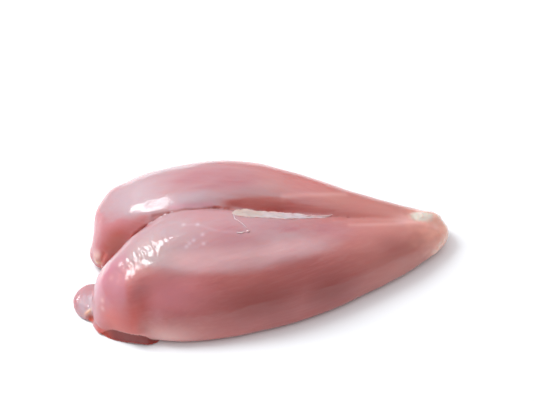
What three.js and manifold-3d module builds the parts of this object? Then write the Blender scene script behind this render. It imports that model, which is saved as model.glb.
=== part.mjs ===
// A whole raw chicken breast, boned and skinned, lying skin side up. Its two lobes are still joined along the
// keel line: plump and parted by a notch at the thick end, and run together in a blunt tip at the other.
//
// Millimetres. +X runs along the keel line towards the tip, +Y from the near lobe to the far one, +Z up.
// The origin is the middle of the footprint, on the surface that the breast lies on.
import * as THREE from "three";
import { mergeVertices } from "three/addons/utils/BufferGeometryUtils.js";
import Module from "manifold-3d";

const KEEL_Y = -1.7; // where the keel line lies in the whole footprint, as the far lobe is the broader one
const RINGS = 52; // sections along a lobe
const RING_POINTS = 40; // points round a section
const SUNK = 3; // how far the lobes reach below the surface that they lie on, before they are cut flat

// Every corner of a section is a superellipse, and its power says how square it is: 2 is round.
const OUTER_CORNER = 2; // above, on the outer side
const LOWER_CORNER = 3.2; // below its widest level, where its own weight spreads it

// A lobe is a row of sections at even steps from its thick end to the tip. Each gives x, the y of its middle
// from the keel line, half its width, the height of its crown, the height at which it is widest, and its lean
// towards +Y in mm for each mm of height. The lobe closes at each end as a superellipse of the given power, and
// its thick end is slanted: each mm of +Y there moves it by endSlant towards +X. Its medial side is the one by
// the keel line: 1 is towards +Y.
const NEAR_LOBE = {
  medialSide: 1,
  medialCorner: 2.6,
  endPower: 3,
  endSlant: 0,
  tipPower: 3,
  sections: [
    { x: -96, y: -21, half: 24, crown: 36, widest: 8, lean: 0.2 },
    { x: -70, y: -21.5, half: 27.5, crown: 47, widest: 10, lean: 0.3 },
    { x: -45, y: -21.5, half: 28.5, crown: 49, widest: 11, lean: 0.38 },
    { x: -20, y: -22, half: 28, crown: 48.5, widest: 11, lean: 0.3 },
    { x: 6, y: -22, half: 26, crown: 44.5, widest: 10, lean: 0.2 },
    { x: 31, y: -19, half: 23.5, crown: 36.7, widest: 9, lean: 0.14 },
    { x: 56, y: -14.5, half: 20, crown: 30.6, widest: 8, lean: 0.08 },
    { x: 82, y: -8.5, half: 17.5, crown: 26, widest: 7, lean: 0 },
    { x: 107.5, y: -2, half: 15, crown: 20, widest: 7, lean: 0 },
  ],
};

const FAR_LOBE = {
  medialSide: -1,
  medialCorner: 3.2,
  endPower: 4.4,
  endSlant: 0.24,
  tipPower: 3,
  sections: [
    { x: -90.5, y: 25, half: 22, crown: 33, widest: 8, lean: 0.3 },
    { x: -66, y: 26.8, half: 27.8, crown: 45, widest: 11, lean: 0.08 },
    { x: -42.5, y: 25.9, half: 28.7, crown: 48.3, widest: 13, lean: 0.06 },
    { x: -18, y: 27.2, half: 26.2, crown: 48.3, widest: 13, lean: 0.06 },
    { x: 6, y: 25.5, half: 23.5, crown: 45.5, widest: 12, lean: 0.04 },
    { x: 31, y: 19.3, half: 20.2, crown: 38.5, widest: 11, lean: 0 },
    { x: 56, y: 11.4, half: 17.1, crown: 31, widest: 10, lean: 0 },
    { x: 81, y: 5, half: 14.5, crown: 25, widest: 8, lean: 0 },
    { x: 106, y: 2, half: 12, crown: 20, widest: 7, lean: 0 },
  ],
};

// A furrow down the outer face of the near lobe, beside its thick end: where it is and how wide and deep.
const FURROW = { x: -72, halfWidth: 6.5, depth: 4.5 };

// Small forms that are joined on, as ellipsoids: middle and radii.
const FLAP = { at: [-90, -13.5, 1], radii: [17.5, 13.5, 5] }; // thin flap from under the near lobe's thick end
const SKIRT = { at: [-88, -26, 0], radii: [10.5, 12, 4] }; // its lower rim, under the lobe's outer corner
const KNOB = { at: [-85, 17, 7], radii: [9.5, 8.5, 8.5] }; // rounded corner of the far lobe's thick end
const TENDON = { at: [92, 1, 12], radii: [12, 6, 9.5] }; // white knot of tendon on top of the tip

const wasm = await Module();
wasm.setup();

// |v| to a power, with v's sign.
const signedPower = (v, power) => Math.sign(v) * Math.abs(v) ** power;

// A closed mesh as a solid that can be joined and cut.
function solidOf(geometry) {
  const bare = geometry.clone();
  bare.deleteAttribute("normal");
  bare.deleteAttribute("uv");
  const merged = mergeVertices(bare, 1e-3);
  return new wasm.Manifold(
    new wasm.Mesh({
      numProp: 3,
      vertProperties: merged.attributes.position.array,
      triVerts: new Uint32Array(merged.index.array),
    }),
  );
}

// A solid as a three.js geometry.
function geometryOf(solid) {
  const { numProp, vertProperties, triVerts, numVert } = solid.getMesh();
  const positions = new Float32Array(numVert * 3);
  for (let i = 0; i < numVert; i++) positions.set(vertProperties.subarray(i * numProp, i * numProp + 3), i * 3);
  const geometry = new THREE.BufferGeometry();
  geometry.setAttribute("position", new THREE.BufferAttribute(positions, 3));
  geometry.setIndex(new THREE.BufferAttribute(triVerts, 1));
  geometry.computeVertexNormals();
  return geometry;
}

// A smooth curve through three values of every section.
function curveThrough(sections, ...keys) {
  const points = sections.map((section) => new THREE.Vector3(...keys.map((key) => section[key])));
  return new THREE.CatmullRomCurve3(points);
}

// A unit sphere whose poles lie along the lobe: each of its rings becomes a section.
function lobe({ medialSide, medialCorner, endPower, endSlant, tipPower, sections }, furrow) {
  const middle = curveThrough(sections, "x", "y", "widest");
  const girth = curveThrough(sections, "half", "crown", "lean");
  const geometry = new THREE.SphereGeometry(1, RING_POINTS, RINGS);
  const position = geometry.attributes.position;
  const onSphere = new THREE.Vector3();
  for (let i = 0; i < position.count; i++) {
    onSphere.fromBufferAttribute(position, i);
    const along = THREE.MathUtils.clamp((1 - onSphere.y) / 2, 0, 1);
    const endness = Math.abs(2 * along - 1);
    const closingPower = along < 0.5 ? endPower : tipPower;
    const closing = (1 - endness ** closingPower) ** (1 / closingPower);
    const centre = middle.getPoint(along);
    const { x: half, y: crown, z: lean } = girth.getPoint(along);
    const angle = Math.atan2(onSphere.z, onSphere.x);
    const isMedial = Math.cos(angle) * medialSide > 0;
    const upperCorner = isMedial ? medialCorner : OUTER_CORNER;
    const corner = 2 / (Math.sin(angle) > 0 ? upperCorner : LOWER_CORNER);
    const across = signedPower(Math.cos(angle), corner);
    const up = signedPower(Math.sin(angle), corner);
    const z = up * closing * (up > 0 ? crown - centre.z : centre.z + SUNK);
    const dent = furrow && !isMedial ? furrowDepth(furrow, centre.x, up) : 0;
    const y = across * closing * half + lean * z + medialSide * dent;
    position.setXYZ(i, centre.x + endSlant * (1 - along) ** 3 * y, centre.y + y, centre.z + z);
  }
  return solidOf(geometry);
}

// How far the furrow pushes the outer face in, at x and at a height of up, which is 1 at the crown.
function furrowDepth({ x: middle, halfWidth, depth }, x, up) {
  const above = 1 - THREE.MathUtils.smoothstep(up, 0.35, 0.95);
  const below = THREE.MathUtils.smoothstep(up, -0.9, 0.1);
  return depth * above * below * Math.exp(-(((x - middle) / halfWidth) ** 2));
}

function ellipsoid({ at, radii }) {
  const geometry = new THREE.SphereGeometry(1, 24, 16);
  geometry.scale(...radii);
  geometry.translate(...at);
  return solidOf(geometry);
}

// All that would lie below the surface that the breast rests on.
function ground() {
  const depth = 40;
  const box = new THREE.BoxGeometry(400, 400, depth);
  box.translate(0, 0, -depth / 2);
  return solidOf(box);
}

function breastGeometry() {
  let breast = lobe(NEAR_LOBE, FURROW).add(lobe(FAR_LOBE));
  for (const form of [FLAP, SKIRT, KNOB, TENDON]) breast = breast.add(ellipsoid(form));
  return geometryOf(breast.subtract(ground())).translate(0, KEEL_Y, 0);
}

const meat = new THREE.MeshStandardMaterial({ color: 0xd9959a, roughness: 0.35, metalness: 0 });
const mesh = new THREE.Mesh(breastGeometry(), meat);
mesh.name = "chicken_breast";

const part = new THREE.Group();
part.add(mesh);

export default part;
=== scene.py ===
"""Dresses the raw chicken breast: wet pink meat with its fibres, membranes, gristle and blood."""
import math

import bpy
import numpy as np
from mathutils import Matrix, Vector, noise
from mathutils.bvhtree import BVHTree


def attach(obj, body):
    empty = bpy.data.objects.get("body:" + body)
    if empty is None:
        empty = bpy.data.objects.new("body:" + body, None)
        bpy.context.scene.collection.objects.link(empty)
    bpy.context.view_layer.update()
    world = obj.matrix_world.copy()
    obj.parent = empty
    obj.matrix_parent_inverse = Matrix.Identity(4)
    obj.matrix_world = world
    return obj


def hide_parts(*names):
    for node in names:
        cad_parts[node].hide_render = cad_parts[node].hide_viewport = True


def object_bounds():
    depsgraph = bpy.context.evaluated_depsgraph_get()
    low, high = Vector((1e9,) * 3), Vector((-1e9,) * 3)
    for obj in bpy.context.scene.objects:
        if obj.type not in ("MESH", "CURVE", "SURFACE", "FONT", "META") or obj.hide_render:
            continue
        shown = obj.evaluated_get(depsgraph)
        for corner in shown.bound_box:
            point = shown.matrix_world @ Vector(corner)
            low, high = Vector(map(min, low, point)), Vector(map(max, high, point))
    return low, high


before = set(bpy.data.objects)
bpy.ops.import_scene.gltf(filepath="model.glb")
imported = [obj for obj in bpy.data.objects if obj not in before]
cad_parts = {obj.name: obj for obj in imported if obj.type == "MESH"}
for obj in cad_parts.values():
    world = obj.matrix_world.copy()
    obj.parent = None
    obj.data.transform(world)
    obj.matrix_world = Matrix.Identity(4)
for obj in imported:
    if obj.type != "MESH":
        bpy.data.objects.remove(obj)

MM = 0.001
CAD_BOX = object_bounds()

# The camera stands where the photograph's did, with its lens. Places are in metres.
CAMERA_AT = (-0.0982, -0.5443, 0.6471)
CAMERA_AIM = (0.0119, 0.0449, 0.0)
LENS_MM = 102.0
SENSOR_MM = 36.0
CLIP_START = 0.01

# Rectangular lights that look straight down: each one's middle and size in metres, its turn in degrees, its
# power in watts and its colour.
LIGHTS = {
    "key": ((-0.603, 0.395, 0.80), (0.76, 0.32), -29, 11.5, (0.89, 0.98, 1.0)),
    "ceiling": ((0, 0.75, 1.3), (3.2, 3.5), 0, 23, (0.95, 0.97, 1.0)),
}
STUDIO_COLOUR = (1.0, 0.955, 0.955, 1)
STUDIO_STRENGTH = 0.48
FLOOR_HALF = 3.0  # half of the floor's side, in metres
FLOOR_TINT = (236, 236, 238)

VOXEL = 0.75 * MM  # step of the even mesh that carries the relief
PULL = 0.5  # share of the way to the mean of its neighbours that a round of smoothing draws a point
SOFTENING = 34  # rounds of smoothing, which melt the joins between the solid's forms into one skin
FLOWING = 260  # rounds in which flesh fills the hollows between the small forms and the lobes
SETTLING = 6  # rounds that even out what the filling leaves
KEEL_Y = -1.7  # the line along which the lobes are joined, in mm
FIBRE_SLANT = 13  # degrees from the keel line at which the fibres of each lobe run out to its thick end
FIBRE_TURN = 6  # distance from the keel line over which they turn to that slant, in mm

# Heights over which what reshapes the skin comes in above the flat underside, in mm.
RUN_FOOT = 2
SMOOTHING_FOOT = 1.5
RELIEF_FOOT = 3

# Noise on the skin: the size of its lumps along x, y and z and its height, in mm, and its seed.
LUMPS = ((34, 24, 24), 0.5, 1)
DENTS = ((13, 8, 8), 0.16, 9)
FIBRES = ((26, 2.6, 2.6), 0.05, 2)
SKIRT_NOISE = ((3.4, 3.4, 3.4), 0.35, 7)
FLAP_NOISE = ((4.5, 4.5, 4.5), 0.3, 17)
KNOB_NOISE = ((3, 3, 3), 0.4, 16)
KNOTS = ((2.4, 2.4, 2.4), 0.5, 8)
RIM_NOISE = ((3.2, 3.2, 3.2), 0.5, 15)
FOLD_BENDS = ((7, 7, 7), 1.3, 5)
FOLD_GAPS = ((4, 6, 6), 1, 6)
CRUMPLES = ((2.2, 3.4, 3), 0.6, 13)
SPARKLE_NOISE = ((1.6, 2.4, 2), 0.1, 14)
VEIL_WAVES = ((16, 9, 9), 1.4, 12)
GRISTLE_RAGS = ((5, 3, 3), 2.5, 11)

# Places on the skin, in mm, as a middle and the radii over which the feature fades. They go from the near
# lobe over the far one, the flap, the knob and the groove between the lobes to the tip.
# A dry, greyish membrane on the near crown, which also carries a painted dull reflection of the key lamp.
CHALK = ((-65, -19, 42), (14, 9, 9))
MAUVE = ((-56, -39, 29), (20, 14, 11))
SALMON_END = ((-83, -34, 12), (9, 9, 10))
END_BULGE = ((-83, -34, 19), (7, 8, 12))
END_MILK = ((-97, -23, 14), (7, 9, 14))
# Painted light thrown up from below onto the near lobe's low edge.
LOW_EDGE_BOUNCE_LIGHT = ((-59, -48, 7), (16, 8, 7))
# Painted shade: the flesh is darker on the near lobe's lower sides and by the tip, where the near side falls
# in shade.
PAINTED_SHADE_SIDES = [((-9, -44, 20), (28, 12, 14)), ((29, -41, 15), (22, 10, 12))]
PAINTED_SHADE_TIP = ((68, -21, 22), (12, 6, 7))
FAR_SHINE = ((-57, 12, 44), (19, 9, 9))
FAR_CRUMPLE = ((-46, 9, 46), (5, 6, 5))
# Milky membrane on the far crowns, with a painted sheen where they face up.
MILK_AND_SHEEN_PLACES = [((-66, 24, 42), (14, 12, 10)), ((-38, 12, 47), (14, 4, 6))]
BLUSHES = [
    ((-29, 26, 48.5), (17, 6, 9)), ((-12, 20, 47.5), (15, 5, 9)), ((-24, 17, 48), (12, 2, 9)),
    ((-19, -18, 47), (11, 7, 9)), ((10, -15, 43), (26, 4.5, 9)), ((36, -14, 35), (16, 6, 9)),
]
PEACHES = [((8, 15, 44), (12, 7, 9)), ((45, 8, 34), (16, 7, 9))]
FLAP = ((-100, -14, 3), (8, 12, 6))
FLAP_FILM = ((-100, -21, 5), (9, 12, 6))
FLAP_MILK = ((-100, -20, 5), (6, 8, 5))
FLAP_ROOT = ((-93, -22, 5), (12, 22, 14))
SKIRT = ((-91, -36, 1.5), (7, 6, 4))
BLOOD_HOLE = ((-98.5, -26, 3), (1.9, 2.4, 3))
HOLE_LIP = ((-99, -23.2, 5.5), (2.6, 0.9, 3))
KNOB = ((-90, 10, 8), (6, 7, 8))
KNOB_ROOT = ((-86, 16, 8), (10, 12, 12))
# Painted highlight on the knob.
KNOB_SHINE = ((-89.8, 8.8, 13.4), (2.8, 2.6, 2.8))
KNOB_DASH = ((-90.4, 8.2, 9.4), (2.3, 2.1, 1.5))
# Painted shade on the far lobe's end wall, in the notch between the lobes.
END_WALL = ((-79, 6, 24), (10, 5.5, 12))
WALL_FOOT = ((-84, 7, 14), (5, 5, 8))
SEAM_WALL = ((-58.5, 6, 41.2), (4.5, 3, 3.5))
# Painted shade in the groove between the lobes.
GROOVES = [((-3, 4, 36), (24, 5, 14)), ((-15, 7, 42), (11, 2.6, 5))]
GROOVE_MOUTH = ((-16.8, 5.6, 41), (6.5, 2.2, 3))
TENDON = ((91, -1.2, 20), (7.5, 4, 5))
TENDON_WHITE = ((91, -1.2, 20), (7.875, 4.2, 5.25))
TENDON_FOOT = ((90.5, -5.8, 20), (6, 2, 4))
TIP_HAZE = ((81, -4, 22), (7, 4, 6))
# Painted highlight on the top of the tip.
TIP_TOP_HIGHLIGHT = ((99, -6.5, 16), (4.5, 2.5, 3))
TIP_SHOULDER = ((99.8, -1.3, 17.3), (4.5, 3.5, 4))

# Small spots on the skin, in mm: their middles, and the radii of each.
SPARKLES = ([(-58.5, -7.5, 44.5), (-36.5, -8, 48), (-41, -19, 46), (-34.5, -20.5, 46)], (4, 3, 4))
# Painted highlights: small pale dots on the near lobe's thick end.
HIGHLIGHT_DOTS = (
    [(-84.1, -22.6, 29.8), (-80.5, -27, 31.5), (-90.9, -29.4, 21), (-91.5, -31.6, 17.1)],
    (1.4, 1.4, 1.4),
)
# Painted glints: small bright flecks on the near crown.
GLINT_FLECKS = (
    [
        (-41.8, -19.4, 45.5), (-39.4, -18.3, 46.2), (-35.8, -9.2, 48.1), (-34.5, -21.1, 45.8),
        (-34.2, -16.1, 47.4), (-43.1, -7.2, 47.4), (-43.6, -20.6, 44.8),
    ],
    (1, 1, 1),
)

# Lines on the skin, in mm: the points that each runs through, and how far to its sides it fades. Those of two
# numbers a point run over the top of the skin, at whatever height it has. Where two heights follow, the line
# comes in from the first of them to the second.
CROWN_FOLDS = ([(-79, -26), (-71, -22), (-63, -18), (-58.5, -16.2)], 5.5, 30, 36)
MEMBRANE_FOLD = (
    [(-43, -7.5), (-35.8, -9.2), (-31.5, -12.3), (-27.1, -15.3), (-22, -16.9), (-16.3, -18.3)],
    0.9, 40, 44,
)
FLAP_FOLDS = [
    ([(-102.7, -13.6), (-102.5, -16.1), (-101, -17.5), (-99.1, -20.3)], 0.9, 11, 7),
    ([(-100.1, -11.9), (-100.9, -16.8)], 0.9, 11, 7),
    ([(-97.8, -13.1), (-96.5, -16.9)], 0.9, 11, 7),
]
# Painted shade along the line where the lobes meet.
SEAM = ([(-58, 6.6), (-50, 5.9), (-45, 5.2), (-39, 5.2), (-32, 5.5), (-24, 6.1)], 0.9, 38, 41)
SEAM_GLOW = ([(-48, 7.6), (-38, 7.4), (-26, 7.8)], 1.6, 36, 40)
KEEL_SHADE = ([(41, -0.4), (47, -1), (56, -1.6), (64, -1.9), (73, -2.4), (80, -3)], 1.6, 12, 18)
KEEL_STREAK = ([(48, -9.4), (62.3, -8.6), (73.8, -8.2), (86, -5.5)], 1.5, 15, 22)
KEEL_HAZE = ([(40, -6.5), (60.5, -4.7), (75, -4.4)], 2.5, 15, 22)
FOLD_ROUTE = [(14, 8.7), (23.6, 9.1), (35, 9.8), (49.8, 11.8)]
LIT_FOLD = (FOLD_ROUTE, 1.6, 22, 30)
# A pale streak along the far shoulder's fold: a painted line of reflection.
FOLD_REFLECTION_STREAK = (FOLD_ROUTE, 1.6, 15, 22)
NEAR_RIM = ([(-89.6, -16.4, 26.1), (-87.5, -12.9, 27.4), (-86, -8, 26), (-84.5, -3, 22)], 1.3, 15, 22)
NEAR_FLUSH = ([(-77, -15, 35.5), (-83.6, -16.5, 31.3), (-87.7, -18.4, 27.3), (-91, -22, 22)], 3.4)
CLEFT_ROUTE = [(-86.2, 6.8, 16.5), (-87.5, 6.6, 13.2), (-88.9, 7.3, 8), (-89.5, 7.8, 5)]
CLEFT_STAIN = (CLEFT_ROUTE, 1.7)
RIM_ROUTE = [
    (99, 4, 15), (105.5, -3.1, 12.2), (105.6, -7, 11.3), (103.4, -11.5, 10), (99.7, -14.9, 8.6),
    (96, -17.3, 6.9),
]
TIP_RIM = (RIM_ROUTE, 3)
RIM_STREAK = (RIM_ROUTE, 2.6)

# Low swells of the flesh, and a cleft: the line that each follows, as above, and its height, in mm.
SWELLS = [
    (([(-86, -31, 24), (-75, -31, 33), (-60, -29, 39)], 8), 1.4),
    (([(-60, 8, 42), (-42, 6, 45)], 4.5), 1.1),
    (([(-88, -22, 26), (-83, -16, 31.5)], 6.5), 1.5),
    (([(-82, 30, 28), (-77, 35.5, 31)], 9), 2.4),
    ((CLEFT_ROUTE, 1.4), -0.7),
]

# Flesh that runs out over the skirt and the knob, and at the flap's far corner: line and height, as above.
RUNS = [
    (([(-97, -19, 4), (-96, -26, 4.5), (-92, -33, 4)], 4.5), 2.6),
    (([(-88, 10, 12), (-86, 20, 10)], 5), 1.5),
    (([(-106, -9, 2.5), (-102, -5.5, 2.5), (-97, -3.5, 2.5)], 4), 3.2),
]

# Places that stand out, or lie in the skin where the height is below 0, in mm.
BUMPS = [(END_BULGE, 0.6), (HOLE_LIP, 0.7), (BLOOD_HOLE, -2.2)]

# The other forms of the relief, in mm.
FLAP_FOLD_HEIGHT = 0.45
RIM_HEIGHT = 0.5
LIT_FOLD_HEIGHT = 0.2
CROWN_FOLD_HEIGHT = 0.3
CROWN_FOLD_PITCH = 3.4  # from one fold to the next
CROWN_FOLD_NORMAL = (0.94, 0.33)  # the direction across the folds, in x and y
CREASE_DEPTH = 1.5

# The hollow in the near lobe's outer face is filled on its left and dug on its right: x, reach and height.
# What remains of it as a furrow is ruddy: its x at a height, how far it leans for each mm up, and its reach.
HOLLOW_FILLS = [(-75, 6.5, 3.8), (-65, 4.5, -0.3)]
FURROW_X, FURROW_Z, FURROW_LEAN, FURROW_REACH = -78.5, 8, 0.34, 6

# How both come in on that face: in z from the crown down, in z from the foot up, and in y outwards.
HOLLOW_FADES = ((42, 26), (0, 8), (-18, -30))
FURROW_FADES = ((34, 21), (1, 9), (-24, -32))

# The near edge of the whitish membrane, and of the painted sheen laid with it, that cover the crowns: x, y,
# in mm.
VEIL_EDGE = [
    (-92, -14), (-76, -21), (-67, -26), (-62, -29.5), (-56, -31.7), (-43.7, -33.8), (-23, -36.8), (-7.1, -37),
    (9.4, -34.5), (26.6, -30.5), (38.6, -25.7), (48.4, -19.5), (62, -12), (80, -6),
]

# The flesh that shows under the lip of the near lobe's outer corner, which is painted with shadow: x, the
# lip's height and its y there, and the y that this shadowed flesh runs out to below it, in mm.
UNDER_LIP_SHADOW = [
    (-96, 0, -33.5, -33.5), (-91, 3.6, -36.2, -38.6), (-87.7, 5.8, -38.2, -40.8),
    (-83.7, 7, -41.1, -42.8), (-79.6, 8, -43.6, -44.8), (-76.6, 8.2, -45.1, -45.9),
    (-73.5, 7.6, -45.9, -46.8), (-70.5, 5.9, -46.2, -47.9), (-68.4, 3.5, -46.3, -48.1),
    (-66.6, 2.1, -46.7, -47.9), (-64.3, 0.9, -46.8, -47.2), (-60.5, 0.1, -46.3, -46.3),
]
# The flesh under the lip is a sheet that carries a painted shadow.
LIP_STEP = 0.9  # how far the dark flesh stands back from the lip, in mm
LIP_SOFTNESS = 0.35  # height over which one passes into the other, to each side of the lip, in mm

# The torn membrane along the keel: x, the y of its middle, and its width, in mm.
STRIP = [
    (-16.5, -3.8, 0.6), (-14, -3.5, 5.4), (-10, -3.2, 8.0), (-6.5, -3.5, 8.0), (-2, -3.9, 7.0),
    (4.5, -4.5, 6.8), (10.5, -4.7, 7.0), (16, -4.5, 6.0), (21.5, -3.7, 4.6), (27.5, -2.9, 3.6),
    (32, -2.5, 2.7), (39, -0.9, 0.6),
]

# Threads and flecks of tissue that lie on the skin: the x, y points that each runs through, its width and
# how high it is raised, in mm.
STRANDS = {
    "keel_thread": ([(-15.5, -3.7), (-15.7, -8.3), (-13, -11.7), (-10.1, -16.3)], 0.5, 0.1),
    "keel_hair": ([(28, -2.6), (34, -1.8), (40, -0.6)], 0.55, 0.5),
    "keel_hook": ([(24.5, -4.2), (26.6, -2.4), (28.2, -0.4)], 0.5, 0.7),
    "crown_fleck": ([(-16.2, -18.3), (-14, -18.8), (-12, -18.6)], 0.8, 0.15),
    "crown_speck": ([(-11.2, -18.2), (-10.3, -18.4), (-9.4, -18)], 1.2, 0.2),
}

# Colours, in sRGB from 0 to 255.
FLESH_TINT = (188, 109, 106)
DARKER_FLESH_TINT = (176, 98, 96)
FIBRE_TINT = (196, 124, 120)
# The membrane's colours, which also stand in for a painted sheen on the upward faces.
VEIL_AND_SHEEN_TINT = (178, 144, 149)
PINKER_VEIL_AND_SHEEN_TINT = (180, 132, 137)
# Painted light on the slope just inside the membrane's near edge.
PAINTED_LIGHT_BAND_TINT = (206, 159, 162)
BLUSH_TINT = (170, 101, 110)
# Milky membrane, with painted sheen and painted glints.
MILK_AND_SHEEN_TINT = (182, 156, 163)
CHALK_AND_SHEEN_TINT = (186, 164, 162)
GRISTLE_TINT = (230, 168, 152)
# The tip's pale rim, and a painted highlight on the knob.
RIM_AND_HIGHLIGHT_TINT = (232, 192, 178)
TENDON_TINT = (206, 194, 182)
MEMBRANE_TAN = (210, 172, 163)
MEMBRANE_LILAC = (220, 184, 187)
MEMBRANE_PINK = (230, 170, 168)
MEMBRANE_STAIN = (222, 148, 144)

# Tissues that lie under the veil and over it, each over the one before: mask and tint. Among them are painted
# shade on the near sides, in the groove and in the crease, a painted shadow under the lip, and painted
# highlights with the pale tissue.
UNDER_VEIL = [
    ("warm", (186, 118, 110)), ("painted_shade", (146, 68, 65)), ("lilac", (187, 124, 135)),
    ("mauve", (192, 118, 124)), ("salmon", (218, 106, 93)), ("ruddy", (202, 80, 67)),
    ("painted_groove_shade", (170, 78, 67)),
]
OVER_VEIL = [
    ("flush", (192, 116, 136)), ("painted_seam_shade", (138, 62, 56)), ("glints_and_fold", (206, 180, 188)),
    ("pale_and_highlights", (218, 167, 163)), ("raw", (202, 82, 66)), ("under", (134, 32, 24)),
    ("blood", (188, 66, 38)), ("cream", (230, 182, 150)),
]


def linear(colour):
    """The shader's colour for an sRGB colour of 0 to 255."""
    shares = [v / 255 for v in colour]
    return [v / 12.92 if v <= 0.04045 else ((v + 0.055) / 1.055) ** 2.4 for v in shares] + [1.0]


def smoothstep(start, end, value):
    """0 up to start and 1 from end on, whichever of them is the greater, with a soft passage between them."""
    t = np.clip((value - start) / (end - start), 0, 1)
    return t * t * (3 - 2 * t)


def bell(distance, reach):
    """1 at no distance, fading as a bell over the reach."""
    return np.exp(-((distance / reach) ** 2))


def near(points, place):
    """1 at the middle of a place, fading as a bell over its radii."""
    middle, radii = place
    return np.exp(-(((points - middle) / np.array(radii)) ** 2).sum(1))


def near_any(points, places):
    return np.max([near(points, place) for place in places], axis=0)


def near_spots(points, spots):
    middles, radii = spots
    return near_any(points, [(middle, radii) for middle in middles])


def beside(points, line):
    """1 on the line, fading as a bell to its sides and between its heights, if it has them."""
    route, reach, *heights = line
    flat = points[:, :len(route[0])]
    nearest = np.full(len(points), np.inf)
    for start, end in zip(route, route[1:]):
        along = np.subtract(end, start).astype(float)
        share = np.clip((flat - start) @ along / (along @ along), 0, 1)
        nearest = np.minimum(nearest, ((flat - start - share[:, None] * along) ** 2).sum(1))
    shown = np.exp(-nearest / reach**2)
    return shown * smoothstep(*heights, points[:, 2]) if heights else shown


def noise_at(points, kind):
    """Smooth noise at each point, from about minus the height of its kind to plus that height."""
    size, height, seed = kind
    seed_step = 17.3  # how far apart two seeds lie in the noise
    full_range = 1.6  # brings Perlin noise to about -1 to 1
    shifted = points / np.array(size) + seed * seed_step
    return np.array([noise.noise(Vector(p)) for p in shifted]) * full_range * height


def even_copy(node, name):
    """The node's own form as a new piece of one even mesh."""
    piece = bpy.data.objects.new(name, node.data.copy())
    bpy.context.collection.objects.link(piece)
    even = piece.modifiers.new("even", "REMESH")
    even.mode = "VOXEL"
    even.voxel_size = VOXEL
    depsgraph = bpy.context.evaluated_depsgraph_get()
    piece.data = bpy.data.meshes.new_from_object(piece.evaluated_get(depsgraph))
    piece.modifiers.clear()
    piece.data.materials.clear()
    piece.data.shade_smooth()
    return piece


def read(mesh, what):
    """The vertices' positions, as co, or their normals, as normal."""
    values = np.empty(len(mesh.vertices) * 3, np.float32)
    mesh.vertices.foreach_get(what, values)
    return values.reshape(-1, 3).astype(float)


def write(mesh, points):
    """Puts the mesh's vertices at the points, in mm, and gives their new normals."""
    mesh.vertices.foreach_set("co", (points * MM).astype(np.float32).ravel())
    mesh.update()
    return read(mesh, "normal")


def edges_of(mesh):
    """The first and the second vertex of every edge."""
    ends = np.empty(len(mesh.edges) * 2, np.int32)
    mesh.edges.foreach_get("vertices", ends)
    return ends.reshape(-1, 2).T


def softened(points, edges, strength, rounds):
    """The points drawn towards the mean of their neighbours, by strength in each round."""
    first, second = edges
    count = len(points)
    shared = np.bincount(first, minlength=count) + np.bincount(second, minlength=count)
    pull = strength / shared
    for _ in range(rounds):
        sums = [np.bincount(first, v[second], count) + np.bincount(second, v[first], count) for v in points.T]
        points = points + (np.array(sums) - shared * points.T).T * pull[:, None]
    return points


def add_mask(mesh, name, values):
    attribute = mesh.attributes.new(name, "FLOAT", "POINT")
    attribute.data.foreach_set("value", np.clip(values, 0, 1).astype(np.float32))


def grain_of(points):
    """Coordinates of each point along the muscle's fibres, across them and up."""
    x, y, z = points.T
    slant = math.radians(FIBRE_SLANT) * np.tanh((y - KEEL_Y) / FIBRE_TURN)
    return np.stack([x * np.cos(slant) - y * np.sin(slant), x * np.sin(slant) + y * np.cos(slant), z], 1)


def on_outer_face(points, fades):
    """1 on the near lobe's outer face, as far as the fades let it in."""
    _, y, z = points.T
    downwards, upwards, outwards = fades
    return smoothstep(*downwards, z) * smoothstep(*upwards, z) * smoothstep(*outwards, y)


def furrow(points):
    """1 in the middle of the furrow down the near lobe's outer face, which leans with its height."""
    x, _, z = points.T
    middle = FURROW_X + FURROW_LEAN * (z - FURROW_Z)
    return bell(x - middle, FURROW_REACH) * on_outer_face(points, FURROW_FADES)


def hollow_fill(points):
    """How far the hollow in the near lobe's outer face is filled, in mm."""
    fill = sum(height * bell(points[:, 0] - middle, reach) for middle, reach, height in HOLLOW_FILLS)
    return fill * on_outer_face(points, HOLLOW_FADES)


def crown_folds(points):
    """Fine folds of the membrane, which run down across the crown of the near lobe's thick end."""
    across = points[:, :2] @ CROWN_FOLD_NORMAL + noise_at(points, FOLD_BENDS)
    folds = np.sin(across * 2 * math.pi / CROWN_FOLD_PITCH)
    folds *= smoothstep(-0.5, 0.4, noise_at(points, FOLD_GAPS))
    return (folds + noise_at(points, CRUMPLES)) * beside(points, CROWN_FOLDS)


def flap_folds(points):
    return np.max([beside(points, line) for line in FLAP_FOLDS], axis=0)


def under(points):
    """1 on the flesh under the near lobe's lip, which is painted with shadow."""
    x, y, z = points.T
    lip = np.interp(x, *np.transpose(UNDER_LIP_SHADOW)[:2])
    below = smoothstep(LIP_SOFTNESS, -LIP_SOFTNESS, z - lip)
    lip_is_raised = smoothstep(0.1, 1, lip)
    on_outer_side = smoothstep(-28, -34, y)
    return below * lip_is_raised * on_outer_side


def flared(points, normals):
    """The points under the near lobe's lip run out over what the breast lies on, as a sheet that carries
    painted shadow.
    """
    x, y, z = points.T
    xs, lips, lip_ys, foot_ys = np.transpose(UNDER_LIP_SHADOW)
    least_lip = 0.01  # so that the division holds where there is no lip
    lip = np.maximum(np.interp(x, xs, lips), least_lip)
    start = np.interp(x, xs, lip_ys) + LIP_STEP
    slope = start + (np.interp(x, xs, foot_ys) - start) * np.clip(1 - z / lip, 0, 1)
    not_underside = smoothstep(-0.985, -0.93, normals[:, 2])
    return np.stack([x, y + (slope - y) * under(points) * not_underside, z], 1)


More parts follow.
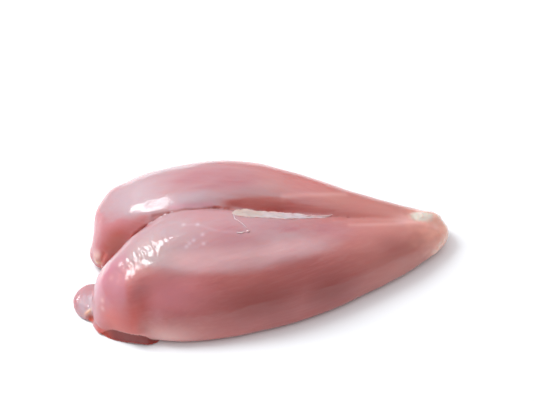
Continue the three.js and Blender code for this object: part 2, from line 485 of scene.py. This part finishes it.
def relief(points, crease):
    """How far each point of the skin stands out, in mm."""
    calm = 1 - 0.9 * near(points, FAR_SHINE)
    lumps = noise_at(points, LUMPS)
    dents = noise_at(points, DENTS) * calm
    fibres = noise_at(grain_of(points), FIBRES) * calm
    rough = noise_at(points, SKIRT_NOISE) * near(points, SKIRT)
    rough += noise_at(points, FLAP_NOISE) * near(points, FLAP)
    rough += noise_at(points, KNOTS) * near(points, TENDON)
    rough += noise_at(points, KNOB_NOISE) * near(points, KNOB)
    rough += noise_at(points, SPARKLE_NOISE) * near_spots(points, SPARKLES)
    folds = FLAP_FOLD_HEIGHT * flap_folds(points) + CROWN_FOLD_HEIGHT * crown_folds(points)
    folds += LIT_FOLD_HEIGHT * beside(points, LIT_FOLD)
    rim = (RIM_HEIGHT + noise_at(points, RIM_NOISE)) * beside(points, TIP_RIM)
    swells = sum(height * beside(points, line) for line, height in SWELLS)
    bumps = sum(height * near(points, place) for place, height in BUMPS)
    forms = folds + rim + swells + bumps + hollow_fill(points)
    return lumps + dents + fibres + rough + forms - CREASE_DEPTH * crease


def crease_of(points, normals, edges):
    """1 in the sharp line where the two lobes meet, and 0 a little way off it and under the torn membrane."""
    x, _, z = points.T
    filling, spreading = 12, 10  # rounds of smoothing that find the hollow, and that even out what is found
    depth = ((softened(points, edges, PULL, filling) - points) * normals).sum(1)
    is_deep = smoothstep(0.12, 0.5, depth)
    off_floor = smoothstep(8, 16, z)
    even = softened((is_deep * off_floor)[:, None], edges, PULL, spreading)[:, 0]
    under_membrane = smoothstep(-22, -14, x) * smoothstep(47, 38, x)
    return smoothstep(0.1, 0.42, even) * (1 - under_membrane)


def filled(points, normals, edges):
    """The points with flesh in the hollows round the small forms, and what stands proud left as it is."""
    full_gain = 0.3  # how far outwards a point is drawn where it moves in full, in mm
    where = near_any(points, [FLAP_ROOT, KNOB_ROOT]) * smoothstep(0, SMOOTHING_FOOT, points[:, 2])
    drawn = softened(points, edges, PULL * where, FLOWING) - points
    gain = (drawn * normals).sum(1)
    return points + drawn * smoothstep(0, full_gain, gain)[:, None]


def inside_veil_edge(points):
    """How far each point lies from the veil's near edge towards the keel, in mm."""
    edge_x, edge_y = np.transpose(VEIL_EDGE)
    return points[:, 1] - np.interp(points[:, 0], edge_x, edge_y)


def veil_and_sheen_of(points, normals):
    """How thickly the whitish membrane covers the flesh, with a painted sheen on faces that turn up to the
    lamps: down to its own edge on each side, less by the tip, and on the far lobe also less on faces that
    turn to the groove or to the thick end."""
    x, y, _ = points.T
    facing_x, facing_y, up = normals.T
    on_near = y < KEEL_Y
    turned_away = 0.5 * np.minimum(facing_y, 0) + 0.2 * np.minimum(facing_x, 0)
    # Painted sheen: the membrane shows more on faces that turn up to the lamps.
    near_top = smoothstep(0.35, 0.7, up)
    far_top = smoothstep(0.36, 0.62, up + turned_away)
    waves = noise_at(points, VEIL_WAVES)
    near_edge = smoothstep(-3, 6, inside_veil_edge(points) + waves)
    far_edge = smoothstep(46, 28, y + 0.22 * x + 2 * waves)
    tip_slant = np.where(on_near, 0.3, 0.9)  # how far its end by the tip moves back for each mm of y
    tip_end = smoothstep(58, -12, x + tip_slant * y)
    bare = 0.9 * near(points, GROOVE_MOUTH)
    veil_and_sheen = near_edge * far_edge * tip_end * np.where(on_near, near_top, far_top) * (1 - bare)
    flap_film = 0.7 * near(points, FLAP_FILM) * smoothstep(0.2, 0.6, up)
    return np.maximum.reduce([veil_and_sheen, flap_film, 0.8 * near(points, SEAM_WALL)])


def painted_light_band_of(points):
    """1 on the bright stripe of painted light that lies inside the membrane's near edge."""
    x = points[:, 0]
    inside = inside_veil_edge(points)
    across = smoothstep(-1, 4.5, inside) * smoothstep(14, 7, inside)
    along = smoothstep(-62, -45, x) * smoothstep(52, 5, x)
    return across * along


def masks_of(points, normals, crease):
    """Where each kind of tissue shows, as values of 0 to 1 at every point, by name. What stands before a
    place or a line is how strongly the tissue shows there."""
    x, y, z = points.T
    facing_x, _, up = normals.T
    facing_end = smoothstep(0.25, 0.6, -facing_x)
    at_end = smoothstep(-50, -75, x)
    lobe_share = np.where(y < KEEL_Y, 1.0, 0.6)
    end_faces = facing_end * at_end * smoothstep(8, 20, z) * lobe_share * (1 - near(points, END_WALL))
    flap_root = near(points, FLAP_ROOT) * smoothstep(16, 10, z)
    # A milky membrane, with painted sheen where the crowns face up, painted glints on the flap's folds and a
    # painted highlight on the knob.
    crowns = near_any(points, MILK_AND_SHEEN_PLACES) * smoothstep(0.5, 0.8, up)
    flap_milk_and_glints = near(points, FLAP_MILK) + flap_folds(points)
    grooves = near_any(points, GROOVES) * smoothstep(12, 18, z)
    open_crease = crease * (1 - 0.6 * near(points, SEAM_WALL))
    towards_tip = smoothstep(20, 85, x)
    gristly = smoothstep(82, 104, x + 0.4 * (z - 10) + noise_at(points, GRISTLE_RAGS))
    # Pale tissue along the keel, the near rim and round the tip, with painted highlights on the knob, the
    # tip's top and some dots, painted light thrown up onto the near lobe's low edge, and a painted reflection
    # along the far shoulder's fold.
    pale_and_highlights = 0.3 * beside(points, KEEL_STREAK) + 0.1 * beside(points, KEEL_HAZE)
    pale_and_highlights += 0.8 * beside(points, NEAR_RIM) + 0.35 * beside(points, FOLD_REFLECTION_STREAK)
    pale_and_highlights += near(points, LOW_EDGE_BOUNCE_LIGHT) + near(points, KNOB_SHINE) + near(points, TIP_TOP_HIGHLIGHT)
    pale_and_highlights += 0.5 * near(points, TENDON_FOOT) + 0.6 * near(points, TIP_HAZE)
    pale_and_highlights += 0.7 * near_spots(points, HIGHLIGHT_DOTS)
    # Painted shadow under the near lobe's lip, fading out towards its left end.
    under_lip_shadow = under(points) * smoothstep(-94, -86, x)
    raw_lip = under(points) * smoothstep(-80, -91, x)
    return {
        "veil_and_sheen": veil_and_sheen_of(points, normals),
        "painted_light_band": painted_light_band_of(points),
        "lilac": end_faces + flap_root + 0.8 * near(points, KNOB),
        "blush": near_any(points, BLUSHES) + 0.6 * near(points, FLAP),
        "flush": 0.5 * beside(points, NEAR_FLUSH) + 0.4 * beside(points, SEAM_GLOW),
        "chalk_and_sheen": near(points, CHALK),
        "crumpled": near_any(points, [CHALK, FAR_CRUMPLE]),
        "milk_and_sheen": crowns + flap_milk_and_glints + near(points, KNOB_SHINE) + 0.4 * near(points, END_MILK),
        # Painted glints on the near crown, and a membrane fold.
        "glints_and_fold": 0.6 * near_spots(points, GLINT_FLECKS) + 0.15 * beside(points, MEMBRANE_FOLD),
        "mauve": near(points, MAUVE),
        "warm": np.maximum(towards_tip, near_any(points, PEACHES)),
        "salmon": near(points, SALMON_END),
        # Painted shade on the near lobe's lower sides and by the tip.
        "painted_shade": 0.9 * near_any(points, PAINTED_SHADE_SIDES) + 0.5 * near(points, PAINTED_SHADE_TIP),
        "ruddy": 0.6 * furrow(points) + 0.6 * near(points, WALL_FOOT),
        # Painted shade in the groove, along the keel line and on the far lobe's end wall.
        "painted_groove_shade": 0.55 * grooves + 0.5 * beside(points, KEEL_SHADE) + 1.1 * near(points, END_WALL),
        # Painted shade in the crease where the lobes meet and at the groove's mouth.
        "painted_seam_shade": 0.6 * open_crease + 0.7 * beside(points, SEAM) + 0.3 * near(points, GROOVE_MOUTH),
        "pale_and_highlights": pale_and_highlights,
        "raw": near(points, SKIRT) + beside(points, CLEFT_STAIN) + 0.8 * raw_lip,
        "blood": 1.2 * near(points, BLOOD_HOLE),
        "under": under_lip_shadow,
        "cream": near(points, KNOB_DASH) + 0.9 * near(points, HOLE_LIP),
        "gristle": 0.9 * gristly,
        # The tip's pale rim, and a painted highlight on the knob.
        "rim": beside(points, RIM_STREAK) + 0.4 * near(points, KNOB_SHINE) + 0.6 * near(points, TIP_SHOULDER),
        "tendon": near(points, TENDON_WHITE),
    }


def add_grain(mesh, points):
    grain = mesh.attributes.new("grain", "FLOAT_VECTOR", "POINT")
    grain.data.foreach_set("vector", (grain_of(points) * MM).astype(np.float32).ravel())


def build_meat():
    meat = even_copy(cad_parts["chicken_breast"], "breast_meat")
    mesh = meat.data
    edges = edges_of(mesh)
    points = read(mesh, "co") / MM
    normals = read(mesh, "normal")
    crease = crease_of(points, normals, edges)
    run = sum(height * beside(points, line) for line, height in RUNS)
    points += normals * (run * smoothstep(0, RUN_FOOT, points[:, 2]))[:, None]
    points = softened(points, edges, PULL, SOFTENING)
    points = filled(points, write(mesh, points), edges)
    points = softened(points, edges, PULL * smoothstep(0, SMOOTHING_FOOT, points[:, 2]), SETTLING)
    normals = write(mesh, points)

    off_floor = smoothstep(0, RELIEF_FOOT, points[:, 2])
    points += normals * (relief(points, crease) * off_floor)[:, None]
    points = flared(points, normals)
    lowest, highest = (np.array(corner) / MM for corner in CAD_BOX)
    points = np.clip(points, lowest, highest)
    normals = write(mesh, points)
    add_grain(mesh, points)
    for name, values in masks_of(points, normals, crease).items():
        add_mask(mesh, name, values)
    meat.data.materials.append(meat_material())
    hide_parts("chicken_breast")
    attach(meat, "root")
    return meat


def skin_of(piece):
    """The piece's surface, in metres, for laying things on it."""
    polygons = [tuple(p.vertices) for p in piece.data.polygons]
    return BVHTree.FromPolygons([v.co for v in piece.data.vertices], polygons)


def laid_on(skin, x, y, lift):
    """The point of the skin under x, y in mm, raised by lift."""
    above_all = 0.1  # a height over the whole breast, in metres
    spot, normal, _, _ = skin.ray_cast(Vector((x * MM, y * MM, above_all)), Vector((0, 0, -1)))
    return spot + normal * lift * MM


def add_piece(name, mesh, material):
    piece = bpy.data.objects.new(name, mesh)
    bpy.context.collection.objects.link(piece)
    mesh.materials.append(material)
    mesh.shade_smooth()
    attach(piece, "root")


def strip_tear(x):
    """How far the strip's edges are torn at x, from about -1 to 1: wide tears with small ones on them."""
    wide, small = 2.4, 0.9  # their sizes, in mm
    return noise.noise(Vector((x / wide, 3.1, 0))) + 0.9 * noise.noise(Vector((x / small, 9.7, 0)))


def build_membrane(skin, material):
    """The torn white sheet along the keel. Its near edge lies on the near lobe, and its far one is free."""
    rows, columns = 160, 13
    thickness = 0.25
    full_half = 3.2  # half of its width, in mm, at which it is torn, raised and curled in full
    near_tear, far_tear = 0.3, 0.55
    near_rise, far_rise = 0.15, 0.7  # how high the near edge lies, and how much higher the far one does
    lowest = 0.08
    curl_size, curl_across, curl_height = 3.5, 1.5, 0.45
    overhang = 0.55  # the share of its half width past which it leaves the skin
    droop = 0.4  # how far it sinks there, for each mm
    downward = Vector((0, -0.3, -1)).normalized()
    xs, middles, widths = np.transpose(STRIP)
    top, bottom, shares, frays = [], [], [], []
    for i in range(rows):
        x = xs[0] + (xs[-1] - xs[0]) * i / (rows - 1)
        middle = np.interp(x, xs, middles)
        half = np.interp(x, xs, widths) / 2
        fullness = half / full_half
        tear = strip_tear(x)
        for j in range(columns):
            across = 2 * j / (columns - 1) - 1
            y = middle + (half + (far_tear if across > 0 else near_tear) * tear * fullness) * across
            rise = near_rise + far_rise * fullness * smoothstep(-0.5, 1, across)
            curl = curl_height * noise.noise(Vector((x / curl_size, across * curl_across, 4))) * fullness
            free = max(0, y - middle - half * overhang)
            spot = laid_on(skin, x, y - free, max(rise + curl, lowest))
            spot += Vector((0, free, -droop * free)) * MM
            top.append(spot)
            bottom.append(spot + downward * thickness * MM)
            shares.append((x - xs[0]) / (xs[-1] - xs[0]))
            frays.append(abs(across) ** 4)
    mesh = bpy.data.meshes.new("keel_membrane")
    mesh.from_pydata(top + bottom, [], sheet_faces(rows, columns))
    add_mask(mesh, "pinkness", np.array(shares * 2))
    add_mask(mesh, "frayed", np.array(frays * 2))
    add_piece("keel_membrane", mesh, material)


def sheet_faces(rows, columns):
    """The faces of a thin sheet of rows by columns points, the upper ones first and then the lower ones."""
    faces = []
    count = rows * columns
    for i in range(rows - 1):
        for j in range(columns - 1):
            a = i * columns + j
            quad = (a, a + columns, a + columns + 1, a + 1)
            faces.append(quad)
            faces.append(tuple(v + count for v in reversed(quad)))
    rim = list(range(columns))
    rim += [i * columns + columns - 1 for i in range(1, rows)]
    rim += [(rows - 1) * columns + j for j in range(columns - 2, -1, -1)]
    rim += [i * columns for i in range(rows - 2, 0, -1)]
    for a, b in zip(rim, rim[1:] + rim[:1]):
        faces.append((a, b, b + count, a + count))
    return faces


def build_strand(name, skin, route, width, lift, material):
    """A thread of tissue that lies on the skin along x, y points in mm, and thins out to both ends."""
    step = 0.8
    wobble, wobble_size = 0.25, 2.5
    end_share = 0.35  # its thickness at the ends, as a share of that in the middle
    pinkness = 0.9
    corners = [Vector((x, y, 0)) for x, y in route]
    spots = []
    for a, b in zip(corners, corners[1:]):
        steps = max(2, round((b - a).length / step))
        spots += [a.lerp(b, k / steps) for k in range(steps)]
    spots.append(corners[-1])
    curve = bpy.data.curves.new(name, "CURVE")
    curve.dimensions = "3D"
    curve.bevel_depth = width / 2 * MM
    curve.bevel_resolution = 2
    curve.use_fill_caps = True
    spline = curve.splines.new("NURBS")
    spline.points.add(len(spots) - 1)
    spline.use_endpoint_u = True
    spline.order_u = 4
    for k, spot in enumerate(spots):
        sideways = wobble * noise.noise(Vector((spot.x / wobble_size, spot.y / wobble_size, 2)))
        place = laid_on(skin, spot.x, spot.y + sideways, lift)
        along = k / (len(spots) - 1)
        spline.points[k].co = (*place, 1)
        spline.points[k].radius = end_share + (1 - end_share) * math.sin(math.pi * along) ** 0.5
    shape = bpy.data.objects.new(name + "_curve", curve)
    bpy.context.collection.objects.link(shape)
    mesh = bpy.data.meshes.new_from_object(shape.evaluated_get(bpy.context.evaluated_depsgraph_get()))
    bpy.data.objects.remove(shape)
    mesh.name = name
    add_mask(mesh, "pinkness", np.full(len(mesh.vertices), pinkness))
    add_piece(name, mesh, material)


class Nodes:
    """Short calls for making one material's nodes and links."""

    # The Mix node's sockets for colours, by number because it has others of the same names.
    SHARE, FIRST, SECOND, RESULT = 0, 6, 7, 2

    def __init__(self, name):
        self.material = bpy.data.materials.new(name)
        self.material.use_nodes = True
        self.tree = self.material.node_tree
        self.tree.nodes.clear()

    def add(self, kind, inputs, **settings):
        node = self.tree.nodes.new("ShaderNode" + kind)
        for key, value in settings.items():
            setattr(node, key, value)
        for key, value in inputs.items():
            if isinstance(value, bpy.types.NodeSocket):
                self.tree.links.new(value, node.inputs[key])
            else:
                node.inputs[key].default_value = value
        return node

    def attribute(self, name, output):
        return self.add("Attribute", {}, attribute_name=name).outputs[output]

    def mask(self, name, factor=None):
        """The mask, times the factor where one is given."""
        value = self.attribute(name, "Fac")
        return value if factor is None else self.math("MULTIPLY", value, factor)

    def noise(self, size, stretch=(1, 1, 1), detail=3.0, along_grain=False):
        """Noise whose lumps are about size metres across, longer by stretch."""
        if along_grain:
            place = self.attribute("grain", "Vector")
        else:
            place = self.add("TexCoord", {}).outputs["Object"]
        scaled = self.add("Mapping", {"Vector": place, "Scale": [1 / (size * s) for s in stretch]})
        inputs = {"Vector": scaled.outputs[0], "Scale": 1.0, "Detail": detail}
        return self.add("TexNoise", inputs).outputs["Fac"]

    def ramp(self, value, low, high, to_low=0.0, to_high=1.0):
        """Passes softly from to_low, where the value is low or less, to to_high, where it is high or more."""
        inputs = {"Value": value, "From Min": low, "From Max": high, "To Min": to_low, "To Max": to_high}
        return self.add("MapRange", inputs, interpolation_type="SMOOTHSTEP").outputs[0]

    def torn(self, name, size, softness):
        """The mask with its edge broken up by noise of that size."""
        middle, raggedness = 0.5, 0.6
        shift = self.math("MULTIPLY", self.math("SUBTRACT", self.noise(size), middle), raggedness)
        return self.ramp(self.math("ADD", self.mask(name), shift), middle - softness, middle + softness)

    def math(self, operation, a, b):
        return self.add("Math", {0: a, 1: b}, operation=operation).outputs[0]

    def blend(self, share, first, second):
        """The first colour with its share of the second. Each is a socket, or a tuple in sRGB of 0 to 255."""
        first, second = (linear(v) if isinstance(v, tuple) else v for v in (first, second))
        inputs = {self.SHARE: share, self.FIRST: first, self.SECOND: second}
        return self.add("Mix", inputs, data_type="RGBA").outputs[self.RESULT]

    def tinted(self, colour, tissues):
        """The colour with that of each tissue over it, where its mask says."""
        for name, tint in tissues:
            colour = self.blend(self.mask(name), colour, tint)
        return colour

    def tissue(self, colour, height, depth, scatter):
        """Wet flesh of a colour, with a film of juice over it. Depth is the bump's height, in metres."""
        bump = self.add("Bump", {"Height": height, "Strength": 0.3, "Distance": depth})
        shader = self.add("BsdfPrincipled", {
            "Base Color": colour,
            "Roughness": 0.4,
            "IOR": 1.4,
            "Specular IOR Level": 0.3,
            "Subsurface Weight": scatter,
            "Subsurface Radius": (1.0, 0.35, 0.25),
            "Subsurface Scale": 0.004,
            "Coat Weight": 1.0,
            "Coat Roughness": 0.1,
            "Coat IOR": 1.45,
            "Normal": bump.outputs[0],
            "Coat Normal": bump.outputs[0],
        })
        self.add("OutputMaterial", {"Surface": shader.outputs[0]})


def meat_material():
    nodes = Nodes("meat")
    patches = nodes.ramp(nodes.noise(size=0.03, stretch=(1.6, 1, 1)), low=0.35, high=0.7)
    colour = nodes.blend(patches, FLESH_TINT, DARKER_FLESH_TINT)
    fibres = nodes.noise(size=0.0014, stretch=(18, 1, 1), along_grain=True)
    colour = nodes.blend(nodes.ramp(fibres, low=0.4, high=0.7, to_high=0.35), colour, FIBRE_TINT)
    colour = nodes.tinted(colour, UNDER_VEIL)

    # The whitish membrane, with a painted sheen on the upward faces.
    clouds = nodes.ramp(nodes.noise(size=0.022, stretch=(2, 1, 1)), low=0.4, high=0.65)
    veil_and_sheen = nodes.blend(clouds, VEIL_AND_SHEEN_TINT, PINKER_VEIL_AND_SHEEN_TINT)
    thin = nodes.noise(size=0.0022, stretch=(12, 1.4, 1), along_grain=True)
    thin = nodes.ramp(thin, low=0.3, high=0.6, to_low=0.86)
    colour = nodes.blend(nodes.mask("veil_and_sheen", thin), colour, veil_and_sheen)
    # Painted light: a brighter stripe just inside the membrane's near edge.
    colour = nodes.blend(nodes.mask("painted_light_band", thin), colour, PAINTED_LIGHT_BAND_TINT)
    streaks = nodes.noise(size=0.0035, stretch=(14, 1.6, 1), along_grain=True)
    streaks = nodes.ramp(streaks, low=0.45, high=0.75, to_low=0.5)
    colour = nodes.blend(nodes.mask("blush", streaks), colour, BLUSH_TINT)
    # Milky membrane, with painted sheen and glints.
    colour = nodes.blend(nodes.mask("milk_and_sheen", 0.8), colour, MILK_AND_SHEEN_TINT)
    # A dry membrane on the near crown, with a painted dull reflection.
    colour = nodes.blend(nodes.mask("chalk_and_sheen", 0.7), colour, CHALK_AND_SHEEN_TINT)
    colour = nodes.tinted(colour, OVER_VEIL)

    gristly = nodes.ramp(nodes.noise(size=0.007), low=0.3, high=0.65, to_low=0.7)
    colour = nodes.blend(nodes.mask("gristle", gristly), colour, GRISTLE_TINT)
    # The tip's pale rim, and the knob's painted highlight.
    colour = nodes.blend(nodes.mask("rim"), colour, RIM_AND_HIGHLIGHT_TINT)
    colour = nodes.blend(nodes.torn("tendon", size=0.004, softness=0.25), colour, TENDON_TINT)

    grain = nodes.noise(size=0.0009, stretch=(7, 1, 1), detail=4, along_grain=True)
    dimples = nodes.noise(size=0.004, stretch=(1.6, 1, 1), detail=2)
    height = nodes.math("ADD", nodes.math("MULTIPLY", grain, 0.25), dimples)
    crumples = nodes.mask("crumpled", nodes.noise(size=0.0016, stretch=(0.7, 1.6, 1), detail=4))
    nodes.tissue(colour, nodes.math("ADD", height, crumples), depth=0.0006, scatter=0.8)
    return nodes.material


def membrane_material():
    nodes = Nodes("membrane")
    mottling = nodes.math("MULTIPLY", nodes.noise(size=0.003, stretch=(2.5, 1, 1)), 0.8)
    pinkness = nodes.math("ADD", nodes.mask("pinkness"), mottling)
    colour = nodes.blend(nodes.ramp(pinkness, low=0.55, high=0.95), MEMBRANE_TAN, MEMBRANE_LILAC)
    colour = nodes.blend(nodes.ramp(pinkness, low=1.15, high=1.5), colour, MEMBRANE_PINK)
    stained = nodes.ramp(nodes.noise(size=0.0025, stretch=(2.5, 1, 1)), low=0.45, high=0.6)
    colour = nodes.blend(nodes.mask("frayed", stained), colour, MEMBRANE_STAIN)
    fibres = nodes.noise(size=0.0008, stretch=(9, 1, 1), detail=3)
    nodes.tissue(colour, fibres, depth=0.0003, scatter=0.5)
    return nodes.material


def add_camera():
    camera = bpy.data.cameras.new("camera")
    camera.lens = LENS_MM
    camera.sensor_width = SENSOR_MM
    camera.clip_start = CLIP_START
    shooter = bpy.data.objects.new("camera", camera)
    shooter.location = CAMERA_AT
    shooter.rotation_euler = (Vector(CAMERA_AIM) - Vector(CAMERA_AT)).to_track_quat("-Z", "Y").to_euler()
    bpy.context.collection.objects.link(shooter)
    bpy.context.scene.camera = shooter


def add_panel(name, at, size, turn, watts, colour):
    light = bpy.data.lights.new(name, "AREA")
    light.shape = "RECTANGLE"
    light.size, light.size_y = size
    light.energy = watts
    light.color = colour
    panel = bpy.data.objects.new(name, light)
    panel.location = at
    panel.rotation_euler.z = math.radians(turn)
    bpy.context.collection.objects.link(panel)


def add_floor():
    corners = [(x * FLOOR_HALF, y * FLOOR_HALF, 0) for x, y in ((-1, -1), (1, -1), (1, 1), (-1, 1))]
    mesh = bpy.data.meshes.new("floor")
    mesh.from_pydata(corners, [], [(0, 1, 2, 3)])
    floor = bpy.data.objects.new("floor", mesh)
    bpy.context.collection.objects.link(floor)
    nodes = Nodes("floor")
    shader = nodes.add("BsdfPrincipled", {"Base Color": linear(FLOOR_TINT), "Roughness": 0.8})
    nodes.add("OutputMaterial", {"Surface": shader.outputs[0]})
    mesh.materials.append(nodes.material)


def add_world():
    world = bpy.data.worlds.new("studio")
    world.use_nodes = True
    background = world.node_tree.nodes["Background"]
    background.inputs["Color"].default_value = STUDIO_COLOUR
    background.inputs["Strength"].default_value = STUDIO_STRENGTH
    bpy.context.scene.world = world
    bpy.context.scene.view_settings.view_transform = "Standard"


add_world()
add_camera()
add_floor()
for light_name, light_values in LIGHTS.items():
    add_panel(light_name, *light_values)
MEAT = build_meat()
SKIN = skin_of(MEAT)
MEMBRANE = membrane_material()
build_membrane(SKIN, MEMBRANE)
for strand_name, (strand_route, strand_width, strand_lift) in STRANDS.items():
    build_strand(strand_name, SKIN, strand_route, strand_width, strand_lift, MEMBRANE)
